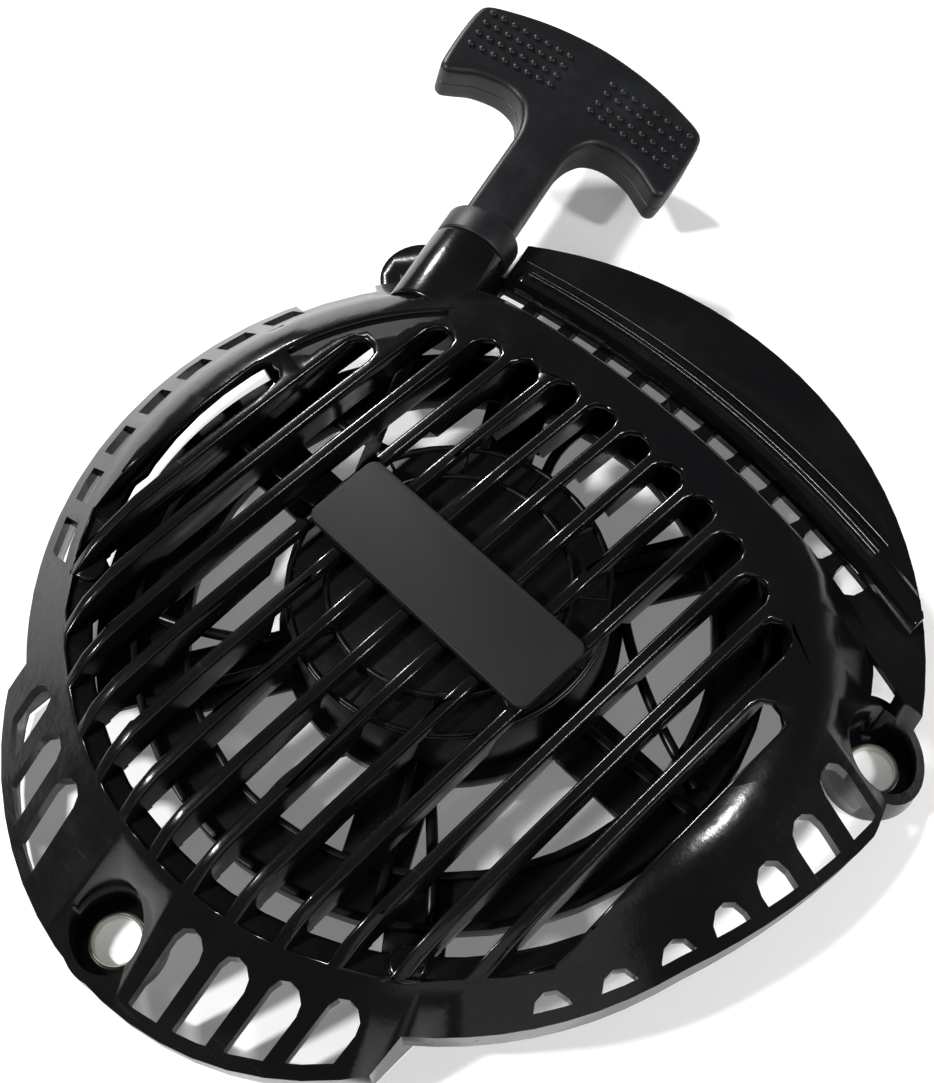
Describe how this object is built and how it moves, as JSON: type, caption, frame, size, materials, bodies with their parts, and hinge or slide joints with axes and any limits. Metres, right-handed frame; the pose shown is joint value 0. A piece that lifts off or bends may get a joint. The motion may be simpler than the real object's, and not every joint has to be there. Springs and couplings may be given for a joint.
{
  "type": "recoil starter",
  "caption": "Small-engine recoil starter: slatted dome cover on a lobed flange with mounting bosses, inner rope pulley with pawls, and a T-shaped pull handle on a rope.",
  "frame": {"origin": "pulley axis at the mounting plane, the underside of the three mounting bosses", "axes": "+Z along the pulley axis, out through the dome; +X along the grille slots, towards the wing"},
  "size_m": [0.2974, 0.2529, 0.0454],
  "materials": {
    "cover": "gloss black",
    "badge": "matt",
    "housing": "satin black",
    "nylon": "matt black",
    "steel": "plain steel",
    "zinc": "zinc plated",
    "rope": "braided nylon",
    "grip": "satin black"
  },
  "bodies": {
    "cover": {"cover": "cover", "badge_plate": "badge", "starter_housing": "housing", "housing_screw_1": "zinc", "housing_screw_2": "zinc", "housing_screw_3": "zinc", "housing_screw_4": "zinc", "mount_sleeve_1": "zinc", "mount_sleeve_2": "zinc", "mount_sleeve_3": "zinc", "rope_bush": "nylon", "retainer_washer": "zinc", "centre_screw": "steel", "recoil_spring": "steel", "spring_shield": "zinc"},
    "pulley": {"pulley": "nylon", "rope_coil": "rope", "rope_knot_inner": "rope"},
    "pawl_1": {"pawl_1": "zinc"},
    "pawl_2": {"pawl_2": "zinc"},
    "drive_plate": {"drive_plate": "zinc", "brake_spring": "steel"},
    "handle": {"handle_lower": "grip", "handle_upper": "grip", "rope_knot": "rope", "rope_lead": "rope"}
  },
  "joints": [
    {"name": "rope_pull", "type": "slide", "parent": "cover", "child": "handle", "axis": [0.9563, 0.2924, 0], "range_m": [0, 0.5], "stiffness_N_per_m": 8, "springref_m": -0.02, "deforming": ["rope_lead"]},
    {"name": "pulley_spin", "type": "hinge", "parent": "cover", "child": "pulley", "pos_m": [0, 0, 0.024], "axis": [0, 0, 1], "range_deg": [-970, 0]},
    {"name": "plate_lag", "type": "hinge", "parent": "pulley", "child": "drive_plate", "pos_m": [0, 0, 0.007], "axis": [0, 0, 1], "range_deg": [0, 8.3]},
    {"name": "pawl_1_swing", "type": "hinge", "parent": "pulley", "child": "pawl_1", "pos_m": [0.016, 0, 0.014], "axis": [0, 0, 1], "range_deg": [0, 25.2]},
    {"name": "pawl_2_swing", "type": "hinge", "parent": "pulley", "child": "pawl_2", "pos_m": [-0.016, 0, 0.014], "axis": [0, 0, 1], "range_deg": [0, 25.2]}
  ],
  "couplings": [
    {"joint": "pulley_spin", "follows": "rope_pull", "rad_per_m": -33.7},
    {"joint": "pawl_1_swing", "follows": "plate_lag", "ratio": 3.02},
    {"joint": "pawl_2_swing", "follows": "plate_lag", "ratio": 3.02}
  ]
}
